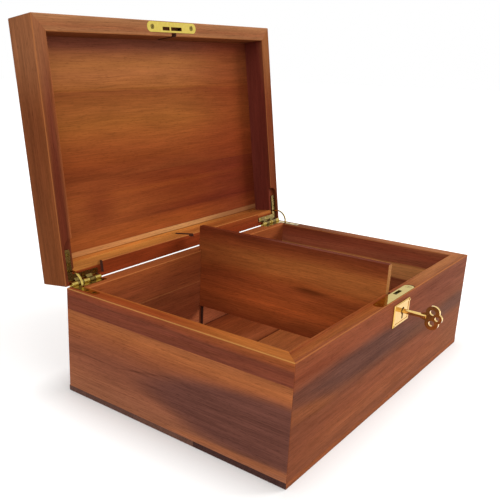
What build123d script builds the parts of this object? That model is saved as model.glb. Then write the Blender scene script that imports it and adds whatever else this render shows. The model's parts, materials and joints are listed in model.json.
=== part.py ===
from build123d import *
from math import asin, atan2, cos, degrees, hypot, radians, sin
import os

# Wooden lock box: mitred walls on a board floor, a framed lid on two corner hinges with
# curved stays, a hook lock with its key, and a divider that slides in grooves.
# Millimetres. Origin at the centre of the underside, front towards -Y, +Z up.
# The lid is modelled closed and then swung open about the hinge axis.

# Case
LENGTH = 325.0
DEPTH = 210.0
BASE_HEIGHT = 91.0
LID_HEIGHT = 28.0
WALL = 13.0
RIM_GAP = 2.0
OPEN_ANGLE = 98.0
EASE = 0.6
LEFT_STRIP_HEIGHT = 17.5
BACK_STRIP_HEIGHT = 31.0

# Floor boards: a lip under the walls and a thicker field between them
FLOOR_LIP = 4.5
FLOOR_TOP = 12.0
FLOOR_BACK_JOINT = 27.5
FLOOR_FRONT_JOINT = -27.5

# Lid boards, let into a rabbet round the top of the rails
BOARD_THICKNESS = 5.4
BOARD_RABBET = 6.0
BOARD_BACK_JOINT = 27.0
BOARD_FRONT_JOINT = -50.0
WOOD_FIT = 0.1

# Divider and the grooves that guide it in walls and rails
DIVIDER_X = 1.5
DIVIDER_THICKNESS = 6.0
DIVIDER_HEIGHT = 80.4
DIVIDER_LIFT = 22.7
DIVIDER_FRONT_PLAY = 1.8
DIVIDER_BACK_PLAY = 0.4
DIVIDER_EASE = 0.5
GROOVE_DEPTH = 3.0
GROOVE_CLEARANCE = 0.3

# Corner hinges: a leaf flush in the base rim, and its pair sunk in a routed pocket of the lid
AXIS_INSIDE = 0.5
LEAF_THICKNESS = 1.6
LEAF_PROUD = 0.2
LEAF_INSET = 3.9
SIDE_LEG = 29.0
SIDE_LEG_WIDTH = 6.2
BACK_LEG = 38.5
BACK_LEG_WIDTH = 4.8
LEAF_CORNER = 1.5
LEAF_FIT = 0.15
LID_LEAF_SUNK = 2.0
LID_LEAF_THICKNESS = 1.2
POCKET_INSET = 3.2
POCKET_SIDE = 38.0
POCKET_BACK = 43.0
POCKET_CORNER = 8.0
KNUCKLE_RADIUS = 2.3
KNUCKLE_COUNT = 5
KNUCKLE_GAP = 0.2
KNUCKLE_FREE = 0.4
KNUCKLE_INNER_INSET = 1.5
KNUCKLE_OUTER_INSET = 4.5
PIN_RADIUS = 1.0
PIN_FIT = 0.05
PIN_OVERHANG = 0.3
HINGE_SCREW_END = 4.0
SIDE_SCREW_PITCH = 8.0
BACK_SCREW_PITCH = 13.0

# Curved stays, concentric with the hinge axis
STAY_RADIUS = 11.5
STAY_THICKNESS = 1.1
STAY_WIDTH = 1.3
STAY_LUG_WIDTH = 2.9
STAY_LUG_ARC = 7.5
STAY_LUG_FREE = 0.3
STAY_SLOT_FREE = 0.35
STAY_SIDE_FREE = 0.3
STAY_END_FREE = 2.0

# Countersunk screws
HEAD_RADIUS = 2.2
HINGE_HEAD_RADIUS = 1.7
HEAD_DEPTH = 1.2
HEAD_RIM_GAP = 0.25
HEAD_RIM_DEPTH = 0.4
SHANK_RADIUS = 1.0
SCREW_LENGTH = 9.0
SCREW_POINT = 1.8
SCREW_FIT = 0.05
SCREW_SUNK = 0.05
CROSS_LENGTH = 2.4
CROSS_WIDTH = 0.5
CROSS_DEPTH = 0.5

# Lock body in the front wall
FACE_LENGTH = 67.0
FACE_WIDTH = 8.5
FACE_THICKNESS = 1.8
FACE_FRONT_INSET = 0.9
FACE_FIT = 0.15
FACE_END_GAP = 1.2
FACE_SLOT_LEFT = 3.0
FACE_SLOT_RIGHT = 15.5
FACE_SLOT_WIDTH = 3.0
LOCK_SCREW_SPACING = 57.0
CASE_LENGTH = 52.0
CASE_FRONT_INSET = 1.6
CASE_SHEET = 0.8
CASE_FIT = 0.1
KEY_X = 5.6
KEY_DEPTH_BELOW_RIM = 12.8
CAM_RADIUS = 7.2
CAM_THICKNESS = 2.8
CAM_WEB = 0.6
CAM_SIDE_FREE = 0.2
HOOK_THICKNESS = 1.6
HOOK_SIDE_FREE = 0.3
HOOK_PIVOT_LEFT = 8.6
HOOK_PIVOT_UP = 3.7
HOOK_HUB = 7.2
HOOK_INNER = 13.2
HOOK_OUTER = 16.2
HOOK_TAIL_ANGLE = -105.0
HOOK_TIP_ANGLE = 27.0
HOOK_WEB_START = -120.0
HOOK_WEB_END = -98.0
HOOK_SWING = 65.0
KEY_TURN = 90.0
CASE_FLOOR_FREE = 0.4
POST_RADIUS = 1.2
POST_FIT = 0.05
DRIVE_PIN_RADIUS = 0.55
DRIVE_PIN_FREE = 0.3
NOTCH_STEPS = 9
NOTCH_FLARE = 1.4

# Strike plate in the lid's front rail
STRIKE_LENGTH = 68.8
STRIKE_WIDTH = 9.0
STRIKE_THICKNESS = 1.6
STRIKE_FRONT_INSET = 0.7
STRIKE_SCREW_SPACING = 55.0
STRIKE_SHORT_LEFT = -13.7
STRIKE_SHORT_RIGHT = -4.0
STRIKE_LONG_LEFT = -1.9
STRIKE_LONG_RIGHT = 13.3
STRIKE_SLOT_WIDTH = 3.2
STRIKE_CAVITY_LENGTH = 32.0
STRIKE_CAVITY_WIDTH = 4.0
STRIKE_CAVITY_DEPTH = 4.6

# Escutcheon and its pins
PLATE_LENGTH = 30.0
PLATE_HEIGHT = 18.9
PLATE_THICKNESS = 1.2
PLATE_BEVEL = 0.7
PLATE_BORDER = 2.4
PLATE_RECESS = 0.3
PLATE_BELOW_KEY = 1.3
PLATE_LEFT_OF_KEY = 1.8
PLATE_PIN_INSET = 1.55
PLATE_PIN_HEAD = 0.75
PLATE_PIN_SHANK = 0.5
PLATE_PIN_HEIGHT = 0.5
PLATE_PIN_GRIP = 1.2

# Key
SHANK = 3.8
KEY_LENGTH = 36.8
KEY_TIP_FREE = 0.2
BIT_LENGTH = 2.0
BIT_THICKNESS = 1.8
BIT_REACH = 6.4
KEY_FREE = 0.3
KEYHOLE_ROUND_FREE = 0.9
BOW_THICKNESS = 2.4
BOW_LOBE = 5.3
BOW_LOBE_SPREAD = 4.5
BOW_LOBE_BACK = 7.6
BOW_CROWN = 4.0
BOW_HOLE = 2.25
BOW_CROWN_HOLE = 1.8
BOW_CROWN_HOLE_BACK = 3.8
BOW_NECK = 16.5
BOW_SHOULDER = 12.4
BOW_SHOULDER_WIDTH = 6.4

# Places that follow from the sizes
HALF_LENGTH = LENGTH / 2
HALF_DEPTH = DEPTH / 2
INNER_X = HALF_LENGTH - WALL
INNER_Y = HALF_DEPTH - WALL
LID_RIM = BASE_HEIGHT + RIM_GAP
LID_TOP = LID_RIM + LID_HEIGHT
BOARD_UNDER = LID_TOP - BOARD_THICKNESS
AXIS_Y = HALF_DEPTH - AXIS_INSIDE
AXIS_Z = BASE_HEIGHT + RIM_GAP / 2
FRONT = -HALF_DEPTH

LEAF_TOP = BASE_HEIGHT + LEAF_PROUD
LEAF_UNDER = LEAF_TOP - LEAF_THICKNESS
SUNK_TOP = BASE_HEIGHT - LID_LEAF_SUNK
SUNK_UNDER = SUNK_TOP - LID_LEAF_THICKNESS
LEAF_BACK = AXIS_Y - KNUCKLE_RADIUS - KNUCKLE_FREE
KNUCKLE_START = HALF_LENGTH - BACK_LEG + KNUCKLE_INNER_INSET
KNUCKLE_END = HALF_LENGTH - KNUCKLE_OUTER_INSET
STAY_X = HALF_LENGTH - LEAF_INSET - SIDE_LEG_WIDTH / 2
STAY_INNER = STAY_RADIUS - STAY_THICKNESS / 2
STAY_OUTER = STAY_RADIUS + STAY_THICKNESS / 2

KEY_Z = BASE_HEIGHT - KEY_DEPTH_BELOW_RIM
PIVOT_X = KEY_X - HOOK_PIVOT_LEFT
PIVOT_Z = KEY_Z + HOOK_PIVOT_UP
FACE_FRONT = FRONT + FACE_FRONT_INSET
FACE_UNDER = BASE_HEIGHT - FACE_THICKNESS
CASE_FRONT = FRONT + CASE_FRONT_INSET
CAM_FRONT = CASE_FRONT + CASE_SHEET + CAM_SIDE_FREE
CAM_BACK = CAM_FRONT + CAM_THICKNESS
HOOK_FRONT = CAM_BACK + HOOK_SIDE_FREE
HOOK_BACK = HOOK_FRONT + HOOK_THICKNESS
COVER_FRONT = HOOK_BACK + HOOK_SIDE_FREE
CASE_BACK = COVER_FRONT + CASE_SHEET
CASE_BOTTOM = PIVOT_Z - HOOK_OUTER - CASE_FLOOR_FREE - CASE_SHEET
HOOK_MIDDLE = (HOOK_FRONT + HOOK_BACK) / 2
STRIKE_FRONT = FRONT + STRIKE_FRONT_INSET
STRIKE_BACK = STRIKE_FRONT + STRIKE_WIDTH
STRIKE_MIDDLE = (STRIKE_FRONT + STRIKE_BACK) / 2
FACE_MIDDLE = FACE_FRONT + FACE_WIDTH / 2
PLATE_X = KEY_X - PLATE_LEFT_OF_KEY
PLATE_Z = KEY_Z - PLATE_BELOW_KEY
PLATE_FRONT = FRONT - PLATE_THICKNESS
KEY_TIP = CAM_BACK - CAM_WEB - KEY_TIP_FREE
BOW_END = KEY_TIP - KEY_LENGTH

HINGE_AXIS = Axis((0, AXIS_Y, AXIS_Z), (1, 0, 0))


# Shared shapes
def block(x0, x1, y0, y1, z0, z1):
    """Rectangular block between two corners."""
    centre = Pos((x0 + x1) / 2, (y0 + y1) / 2, (z0 + z1) / 2)
    return centre * Box(x1 - x0, y1 - y0, z1 - z0)


def upright(face, z0, z1):
    """Plan outline raised from z0 to z1."""
    return extrude(Plane.XY.offset(z0) * face, z1 - z0)


def sideways(face, x0, x1):
    """Outline drawn in Y and Z, drawn out from x0 to x1."""
    return extrude(Plane.YZ.offset(x0) * face, x1 - x0)


def depthwise(face, y0, y1):
    """Outline drawn in X and Z, drawn out from y0 to y1."""
    plane = Plane(origin=(0, y1, 0), x_dir=(1, 0, 0), z_dir=(0, -1, 0))
    return extrude(plane * face, y1 - y0)


def outline(points):
    return make_face(Polyline(*points, close=True))


def arc_band(inner, outer, start, end):
    """Part of a ring between two radii and two angles."""
    far = CenterArc((0, 0), outer, start, end - start)
    near = CenterArc((0, 0), inner, start, end - start)
    first = Line(near @ 0, far @ 0)
    last = Line(near @ 1, far @ 1)
    return make_face(far.edges() + near.edges() + first.edges() + last.edges())


def mirrored(shape):
    return mirror(shape, about=Plane.YZ).solid()


def flipped(shape):
    """Base hinge shape turned over into the lid, about the plane between the rims."""
    return mirror(shape, about=Plane.XY.offset(AXIS_Z)).solid()


def swing_open(shape):
    return shape.solid().rotate(HINGE_AXIS, -OPEN_ANGLE)


def group(shapes):
    """Identical pieces kept together as separate solids."""
    return Compound([shape.solid() for shape in shapes])


def screw(x, y, top, fit=0.0, head=HEAD_RADIUS):
    """Countersunk screw pointing down from its head face at the height top."""
    length = SCREW_LENGTH + fit
    shank = SHANK_RADIUS + fit
    points = [
        (0, 0),
        (head + fit, 0),
        (shank, -HEAD_DEPTH),
        (shank, -length + SCREW_POINT),
        (0, -length),
    ]
    return Pos(x, y, top) * revolve(Plane.XZ * outline(points), Axis.Z)


def crossed(shape, x, y, top):
    """Cross recess cut in a screw head."""
    bottom = top - CROSS_DEPTH
    half_length = CROSS_LENGTH / 2
    half_width = CROSS_WIDTH / 2
    bar = block(x - half_length, x + half_length, y - half_width, y + half_width, bottom, top)
    return shape - bar - bar.rotate(Axis((x, y, 0), (0, 0, 1)), 90)


def well(x, y, top, above, head=HEAD_RADIUS):
    """Hole for a screw, opened out round the head and upwards to the height above."""
    ledge = top - HEAD_RIM_DEPTH
    throat = Pos(x, y, (ledge + above) / 2) * Cylinder(head + HEAD_RIM_GAP, above - ledge)
    return screw(x, y, top, SCREW_FIT, head) + throat


# Frames: a ring with eased edges, split along the mitres
def frame_ring(bottom, top, rim_on_top):
    body = block(-HALF_LENGTH, HALF_LENGTH, -HALF_DEPTH, HALF_DEPTH, bottom, top)
    body -= block(-INNER_X, INNER_X, -INNER_Y, INNER_Y, bottom - 1, top + 1)
    flat = body.faces().filter_by(Axis.Z).sort_by(Axis.Z)
    rim = flat[-1] if rim_on_top else flat[0]
    corners = body.edges().filter_by(Axis.Z).filter_by(lambda e: abs(e.center().X) > INNER_X + EASE)
    eased = rim.edges() + corners
    if not rim_on_top:
        eased = eased + flat[-1].outer_wire().edges()
    return chamfer(eased, EASE)


def mitre_piece(ring, side, bottom, top):
    """One side of a frame: the ring's share between two mitre planes."""
    far = WALL
    near = WALL + EASE
    x_out, y_out = HALF_LENGTH + far, HALF_DEPTH + far
    x_in, y_in = HALF_LENGTH - near, HALF_DEPTH - near
    plans = {
        "front": [(-x_out, -y_out), (x_out, -y_out), (x_in, -y_in), (-x_in, -y_in)],
        "back": [(-x_out, y_out), (-x_in, y_in), (x_in, y_in), (x_out, y_out)],
        "left": [(-x_out, -y_out), (-x_in, -y_in), (-x_in, y_in), (-x_out, y_out)],
        "right": [(x_out, -y_out), (x_out, y_out), (x_in, y_in), (x_in, -y_in)],
    }
    return ring & upright(outline(plans[side]), bottom - EASE, top + EASE)


# Hinge shapes for the right-hand corner, drawn as in the base; the lid's are turned over
def plan_rectangle(x0, x1, y0, y1, corner=0.0):
    size = (x1 - x0, y1 - y0)
    face = RectangleRounded(*size, corner) if corner else Rectangle(*size)
    return Pos((x0 + x1) / 2, (y0 + y1) / 2) * face


def leaf_plan(grow=0.0):
    """L-shaped leaf: a leg along the side wall and a leg along the back wall."""
    outer_x = HALF_LENGTH - LEAF_INSET + grow
    back_y = LEAF_BACK + grow
    corner = LEAF_CORNER + grow
    side_x = outer_x - SIDE_LEG_WIDTH - 2 * grow
    back_front = back_y - BACK_LEG_WIDTH - 2 * grow
    plan = plan_rectangle(side_x, outer_x, HALF_DEPTH - SIDE_LEG - grow, back_y, corner)
    return plan + plan_rectangle(HALF_LENGTH - BACK_LEG - grow, outer_x, back_front, back_y, corner)


def pocket_plan():
    """Routed pocket of the lid: longer than the leaf, round at its end and open to the inside."""
    outer_x = HALF_LENGTH - POCKET_INSET
    end_y = HALF_DEPTH - POCKET_SIDE
    back_y = LEAF_BACK + LEAF_FIT
    round_x = outer_x - POCKET_CORNER
    round_y = end_y + POCKET_CORNER
    plan = plan_rectangle(INNER_X - 1, outer_x, round_y, back_y)
    plan += plan_rectangle(INNER_X - 1, round_x, end_y, back_y)
    plan += Pos(round_x, round_y) * Circle(POCKET_CORNER)
    return plan + plan_rectangle(HALF_LENGTH - POCKET_BACK, outer_x, INNER_Y - 1, back_y)


def along_axis(radius, x0, x1):
    """Cylinder on the hinge axis."""
    return sideways(Pos(AXIS_Y, AXIS_Z) * Circle(radius), x0, x1)


def stay_band(free_radial, half_width, start, end):
    """Curved band on the stay's path, at the right-hand stay."""
    face = arc_band(STAY_INNER - free_radial, STAY_OUTER + free_radial, start, end)
    return sideways(Pos(AXIS_Y, AXIS_Z) * face, STAY_X - half_width, STAY_X + half_width)


def knuckles(first, under, top):
    """Knuckles of one leaf, every second place from the first, each on a tongue bent from the leaf."""
    pitch = (KNUCKLE_END - KNUCKLE_START) / KNUCKLE_COUNT
    tongue = outline([
        (LEAF_BACK - LEAF_CORNER, under),
        (LEAF_BACK - LEAF_CORNER, top),
        (AXIS_Y - 0.8 * KNUCKLE_RADIUS, AXIS_Z - 0.6 * KNUCKLE_RADIUS),
        (AXIS_Y + 0.4 * KNUCKLE_RADIUS, AXIS_Z - 0.8 * KNUCKLE_RADIUS),
        (AXIS_Y - 0.3 * KNUCKLE_RADIUS, under),
    ])
    pieces = []
    for place in range(first, KNUCKLE_COUNT, 2):
        x0 = KNUCKLE_START + place * pitch + KNUCKLE_GAP / 2
        x1 = x0 + pitch - KNUCKLE_GAP
        pieces.append(along_axis(KNUCKLE_RADIUS, x0, x1) + sideways(tongue, x0, x1))
    return pieces


def hinge_screw_places():
    side_y = HALF_DEPTH - SIDE_LEG + HINGE_SCREW_END
    back_x = HALF_LENGTH - BACK_LEG + HINGE_SCREW_END
    back_y = LEAF_BACK - BACK_LEG_WIDTH / 2
    return [
        (STAY_X, side_y),
        (STAY_X, side_y + SIDE_SCREW_PITCH),
        (back_x, back_y),
        (back_x + BACK_SCREW_PITCH, back_y),
    ]


def hinge_leaf(first, under, top):
    leaf = upright(leaf_plan(), under, top)
    for piece in knuckles(first, under, top):
        leaf += piece
    leaf -= along_axis(PIN_RADIUS + PIN_FIT, KNUCKLE_START - 1, KNUCKLE_END + 1)
    leaf -= stay_band(STAY_SLOT_FREE, STAY_WIDTH / 2 + STAY_SIDE_FREE, 90, 270)
    for x, y in hinge_screw_places():
        leaf -= well(x, y, top - SCREW_SUNK, top + 1, HINGE_HEAD_RADIUS)
    return leaf


def hinge_screws(top):
    """Screws of one leaf at both corners."""
    made = []
    for x, y in hinge_screw_places():
        head = top - SCREW_SUNK
        one = crossed(screw(x, y, head, 0.0, HINGE_HEAD_RADIUS), x, y, head)
        made += [one, mirrored(one)]
    return made


def stay_reach(under):
    """Angle from the plane of the axis to the end of the stay's lug, which stops under a leaf."""
    return degrees(asin((AXIS_Z - under + STAY_LUG_FREE) / STAY_INNER)) + STAY_LUG_ARC


def hinge_cutters(plan, under, top):
    """Everything that one leaf, its screws and its stay need cut from the wood."""
    above = BASE_HEIGHT + RIM_GAP
    cuts = [upright(plan, under, above)]
    cuts.append(block(KNUCKLE_START, KNUCKLE_END, LEAF_BACK - LEAF_CORNER, HALF_DEPTH + 1, under, above))
    barrel_start = KNUCKLE_START - KNUCKLE_FREE
    barrel_end = KNUCKLE_END + KNUCKLE_FREE
    cuts.append(along_axis(KNUCKLE_RADIUS + KNUCKLE_FREE, barrel_start, barrel_end))
    half_width = STAY_LUG_WIDTH / 2 + STAY_SIDE_FREE
    arc = OPEN_ANGLE / 2 + stay_reach(under) + STAY_END_FREE
    cuts.append(stay_band(STAY_SLOT_FREE + STAY_SIDE_FREE, half_width, 180, 180 + arc))
    for x, y in hinge_screw_places():
        cuts.append(screw(x, y, top - SCREW_SUNK, SCREW_FIT, HINGE_HEAD_RADIUS))
    return cuts


def stay_arm():
    start = 180 - OPEN_ANGLE - stay_reach(SUNK_UNDER)
    end = 180 + stay_reach(LEAF_UNDER)
    arm = stay_band(0, STAY_WIDTH / 2, start, end)
    arm += stay_band(0, STAY_LUG_WIDTH / 2, start, start + STAY_LUG_ARC)
    arm += stay_band(0, STAY_LUG_WIDTH / 2, end - STAY_LUG_ARC, end)
    return arm


# Lock shapes
def plate_with_round_ends(length, width, middle_y, z0, z1):
    return upright(Pos(0, middle_y) * SlotOverall(length, width), z0, z1)


def keyhole(free, y0, y1, round_free=0.0):
    """Keyhole through a layer: round for the shank, with any further freedom, and slotted down for the bit."""
    drop = BIT_REACH + free
    face = Pos(KEY_X, KEY_Z) * Circle(SHANK / 2 + free + round_free)
    face += Pos(KEY_X, KEY_Z - drop / 2) * Rectangle(BIT_THICKNESS + 2 * free, drop)
    return depthwise(face, y0, y1)


def turned(point, centre, angle):
    """Point turned about a centre in the front view."""
    dx = point[0] - centre[0]
    dz = point[1] - centre[1]
    c = cos(radians(angle))
    s = sin(radians(angle))
    return (centre[0] + c * dx - s * dz, centre[1] + s * dx + c * dz)


# The drive pin meets the hook where the two turns roll on each other at mid-turn
centre_distance = hypot(HOOK_PIVOT_LEFT, HOOK_PIVOT_UP)
hook_ratio = HOOK_SWING / KEY_TURN
drive_radius = centre_distance * hook_ratio / (1 + hook_ratio)
drive_angle = degrees(atan2(HOOK_PIVOT_UP, -HOOK_PIVOT_LEFT)) + KEY_TURN / 2
key_point = (KEY_X, KEY_Z)
pivot_point = (PIVOT_X, PIVOT_Z)
drive_point = turned((KEY_X + drive_radius, KEY_Z), key_point, drive_angle)


def hook_shape():
    face = Circle(HOOK_HUB)
    face += arc_band(HOOK_INNER, HOOK_OUTER, HOOK_TAIL_ANGLE, HOOK_TIP_ANGLE)
    face += arc_band(HOOK_HUB / 2, HOOK_OUTER, HOOK_WEB_START, HOOK_WEB_END)
    face -= Circle(POST_RADIUS + POST_FIT)
    face = Pos(PIVOT_X, PIVOT_Z) * face
    path = []
    for step in range(NOTCH_STEPS):
        turn = KEY_TURN * step / (NOTCH_STEPS - 1)
        there = turned(drive_point, key_point, -turn)
        path.append(turned(there, pivot_point, -turn * hook_ratio))
    free = DRIVE_PIN_RADIUS + DRIVE_PIN_FREE
    mouth = [(PIVOT_X + NOTCH_FLARE * (x - PIVOT_X), PIVOT_Z + NOTCH_FLARE * (z - PIVOT_Z)) for x, z in path]
    face -= outline([mouth[0]] + path + [mouth[-1]])
    for a, b in zip(path, path[1:]):
        span = hypot(b[0] - a[0], b[1] - a[1])
        middle = Pos((a[0] + b[0]) / 2, (a[1] + b[1]) / 2)
        tilt = Rot(0, 0, degrees(atan2(b[1] - a[1], b[0] - a[0])))
        face -= middle * tilt * Rectangle(span, 2 * free)
    for a in path:
        face -= Pos(*a) * Circle(free)
    return depthwise(face, HOOK_FRONT, HOOK_BACK)


def cam_shape():
    disc = depthwise(Pos(*key_point) * Circle(CAM_RADIUS), CAM_FRONT, CAM_BACK)
    disc -= keyhole(KEY_FREE / 2, CAM_FRONT - 1, CAM_BACK - CAM_WEB)
    disc -= depthwise(Pos(*key_point) * Circle(POST_RADIUS + POST_FIT), CAM_FRONT, CAM_BACK + 1)
    return disc + depthwise(Pos(*drive_point) * Circle(DRIVE_PIN_RADIUS), CAM_BACK - CAM_WEB, HOOK_BACK)


def key_shape():
    neck = BOW_END + BOW_NECK
    shoulder = BOW_END + BOW_SHOULDER
    lobe = BOW_END + BOW_LOBE_BACK
    crown = BOW_END + BOW_CROWN
    half = BOW_SHOULDER_WIDTH / 2
    plate = outline([
        (neck, KEY_Z - SHANK / 2),
        (neck, KEY_Z + SHANK / 2),
        (shoulder, KEY_Z + half),
        (lobe, KEY_Z + BOW_LOBE_SPREAD),
        (crown, KEY_Z + BOW_CROWN),
        (crown, KEY_Z - BOW_CROWN),
        (lobe, KEY_Z - BOW_LOBE_SPREAD),
        (shoulder, KEY_Z - half),
    ])
    plate += Pos(crown, KEY_Z) * Circle(BOW_CROWN)
    for way in (-1, 1):
        plate += Pos(lobe, KEY_Z + way * BOW_LOBE_SPREAD) * Circle(BOW_LOBE)
    for way in (-1, 1):
        plate -= Pos(lobe, KEY_Z + way * BOW_LOBE_SPREAD) * Circle(BOW_HOLE)
    plate -= Pos(BOW_END + BOW_CROWN_HOLE_BACK, KEY_Z) * Circle(BOW_CROWN_HOLE)
    bow = sideways(plate, KEY_X - BOW_THICKNESS / 2, KEY_X + BOW_THICKNESS / 2)
    shank = depthwise(Pos(*key_point) * Circle(SHANK / 2), shoulder, KEY_TIP)
    bit = block(
        KEY_X - BIT_THICKNESS / 2, KEY_X + BIT_THICKNESS / 2,
        KEY_TIP - BIT_LENGTH, KEY_TIP,
        KEY_Z - BIT_REACH, KEY_Z,
    )
    return bow + shank + bit


def plate_pin(x, z, fit=0.0):
    """Shank of a pin through the escutcheon into the front wall."""
    return depthwise(Pos(x, z) * Circle(PLATE_PIN_SHANK + fit), PLATE_FRONT, FRONT + PLATE_PIN_GRIP + fit)


def plate_pin_places():
    dx = PLATE_LENGTH / 2 - PLATE_PIN_INSET
    dz = PLATE_HEIGHT / 2 - PLATE_PIN_INSET
    return [(PLATE_X + dx, PLATE_Z + dz), (PLATE_X - dx, PLATE_Z - dz)]


parts = {}

# Floor boards
floor_joints = [-HALF_DEPTH, FLOOR_FRONT_JOINT, FLOOR_BACK_JOINT, HALF_DEPTH]
for name, y0, y1 in zip(("front", "middle", "back"), floor_joints, floor_joints[1:]):
    board = block(-HALF_LENGTH, HALF_LENGTH, y0, y1, 0, FLOOR_LIP)
    field_front = max(y0, -INNER_Y + WOOD_FIT)
    field_back = min(y1, INNER_Y - WOOD_FIT)
    field_x = INNER_X - WOOD_FIT
    board += block(-field_x, field_x, field_front, field_back, FLOOR_LIP, FLOOR_TOP)
    parts["floor_board_" + name] = board

# Base walls
groove_half = DIVIDER_THICKNESS / 2 + GROOVE_CLEARANCE
groove = block(
    DIVIDER_X - groove_half, DIVIDER_X + groove_half,
    -INNER_Y - GROOVE_DEPTH, INNER_Y + GROOVE_DEPTH,
    FLOOR_TOP, BOARD_UNDER,
)
hinge_cuts = hinge_cutters(leaf_plan(LEAF_FIT), LEAF_UNDER, LEAF_TOP)
lock_screw_places = [(-LOCK_SCREW_SPACING / 2, FACE_MIDDLE), (LOCK_SCREW_SPACING / 2, FACE_MIDDLE)]
face_mortise = plate_with_round_ends(
    FACE_LENGTH + 2 * FACE_FIT, FACE_WIDTH + 2 * FACE_FIT, FACE_MIDDLE, FACE_UNDER, LID_RIM)
lock_cuts = [
    face_mortise,
    Pos(FACE_END_GAP, 0, 0) * face_mortise,
    block(
        -CASE_LENGTH / 2 - CASE_FIT, CASE_LENGTH / 2 + CASE_FIT,
        CASE_FRONT - CASE_FIT, CASE_BACK + CASE_FIT,
        CASE_BOTTOM - CASE_FIT, LID_RIM,
    ),
    keyhole(2 * KEY_FREE, FRONT - 1, CASE_FRONT, KEYHOLE_ROUND_FREE),
]
for x, y in lock_screw_places:
    lock_cuts.append(screw(x, y, BASE_HEIGHT - SCREW_SUNK, SCREW_FIT))
for x, z in plate_pin_places():
    lock_cuts.append(plate_pin(x, z, SCREW_FIT))

base_ring = frame_ring(FLOOR_LIP, BASE_HEIGHT, True)
base_cuts = {
    "front": [groove] + lock_cuts,
    "back": [groove] + hinge_cuts + [mirrored(c) for c in hinge_cuts],
    "left": [mirrored(c) for c in hinge_cuts],
    "right": hinge_cuts,
}
glue_lines = {"left": BASE_HEIGHT - LEFT_STRIP_HEIGHT, "back": BASE_HEIGHT - BACK_STRIP_HEIGHT}
for side, cuts in base_cuts.items():
    wall = mitre_piece(base_ring, side, FLOOR_LIP, BASE_HEIGHT) - cuts
    if side in glue_lines:
        upper = block(-LENGTH, LENGTH, -DEPTH, DEPTH, glue_lines[side], LID_TOP)
        parts[side + "_wall_strip"] = (wall & upper).solid()
        wall = (wall - upper).solid()
    parts[side + "_wall"] = wall

# Hinges, pins and stays
base_leaf = hinge_leaf(0, LEAF_UNDER, LEAF_TOP)
lid_leaf = flipped(hinge_leaf(1, SUNK_UNDER, SUNK_TOP))
pin = along_axis(PIN_RADIUS, KNUCKLE_START - PIN_OVERHANG, KNUCKLE_END + PIN_OVERHANG)
stay = stay_arm()
for side, place in (("right", lambda s: s), ("left", mirrored)):
    parts[side + "_hinge_base_leaf"] = place(base_leaf)
    parts[side + "_hinge_lid_leaf"] = swing_open(place(lid_leaf))
    parts[side + "_hinge_pin"] = place(pin)
    parts[side + "_stay_arm"] = place(stay)

parts["base_hinge_screws"] = group(hinge_screws(LEAF_TOP))
parts["lid_hinge_screws"] = group([swing_open(flipped(s)) for s in hinge_screws(SUNK_TOP)])

# Lid rails
lid_hinge_cuts = [flipped(c) for c in hinge_cutters(pocket_plan(), SUNK_UNDER, SUNK_TOP)]
slot_y = HOOK_MIDDLE
strike_screw_places = [(-STRIKE_SCREW_SPACING / 2, STRIKE_MIDDLE), (STRIKE_SCREW_SPACING / 2, STRIKE_MIDDLE)]


def up_from_rim(shape):
    """Shape drawn pointing down from zero, turned to point up into a rail from the lid rim."""
    return Pos(0, 0, LID_RIM + SCREW_SUNK) * mirror(shape, about=Plane.XY)


strike_top = LID_RIM + STRIKE_THICKNESS
strike_cuts = [
    plate_with_round_ends(
        STRIKE_LENGTH + 2 * FACE_FIT, STRIKE_WIDTH + 2 * FACE_FIT, STRIKE_MIDDLE, BASE_HEIGHT, strike_top),
    block(
        -STRIKE_CAVITY_LENGTH / 2, STRIKE_CAVITY_LENGTH / 2,
        slot_y - STRIKE_CAVITY_WIDTH / 2, slot_y + STRIKE_CAVITY_WIDTH / 2,
        LID_RIM, strike_top + STRIKE_CAVITY_DEPTH,
    ),
]
for x, y in strike_screw_places:
    strike_cuts.append(up_from_rim(screw(x, y, 0, SCREW_FIT)))

ledge_x = INNER_X + BOARD_RABBET
ledge_y = INNER_Y + BOARD_RABBET
rabbet = block(-ledge_x, ledge_x, -ledge_y, ledge_y, BOARD_UNDER, LID_TOP + 1)
lid_ring = frame_ring(LID_RIM, LID_TOP, False) - rabbet
lid_cuts = {
    "front": [groove] + strike_cuts,
    "back": [groove] + lid_hinge_cuts + [mirrored(c) for c in lid_hinge_cuts],
    "left": [mirrored(c) for c in lid_hinge_cuts],
    "right": lid_hinge_cuts,
}
for side, cuts in lid_cuts.items():
    rail = mitre_piece(lid_ring, side, LID_RIM, LID_TOP) - cuts
    parts["lid_" + side + "_rail"] = swing_open(rail)

# Lid boards
board_x = ledge_x - WOOD_FIT
board_y = ledge_y - WOOD_FIT
board_joints = [-board_y, BOARD_FRONT_JOINT, BOARD_BACK_JOINT, board_y]
for name, y0, y1 in zip(("front", "middle", "back"), board_joints, board_joints[1:]):
    board = block(-board_x, board_x, y0, y1, BOARD_UNDER, LID_TOP)
    parts["lid_board_" + name] = swing_open(board)

# Strike plate
strike = plate_with_round_ends(STRIKE_LENGTH, STRIKE_WIDTH, STRIKE_MIDDLE, LID_RIM, strike_top)
for x0, x1 in ((STRIKE_SHORT_LEFT, STRIKE_SHORT_RIGHT), (STRIKE_LONG_LEFT, STRIKE_LONG_RIGHT)):
    strike -= block(
        x0, x1, slot_y - STRIKE_SLOT_WIDTH / 2, slot_y + STRIKE_SLOT_WIDTH / 2, LID_RIM - 1, strike_top + 1)
for x, y in strike_screw_places:
    strike -= up_from_rim(well(x, y, 0, 1))
parts["strike_plate"] = swing_open(strike)
strike_screws = [crossed(screw(x, y, 0), x, y, 0) for x, y in strike_screw_places]
parts["strike_screws"] = group([swing_open(up_from_rim(s)) for s in strike_screws])

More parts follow.
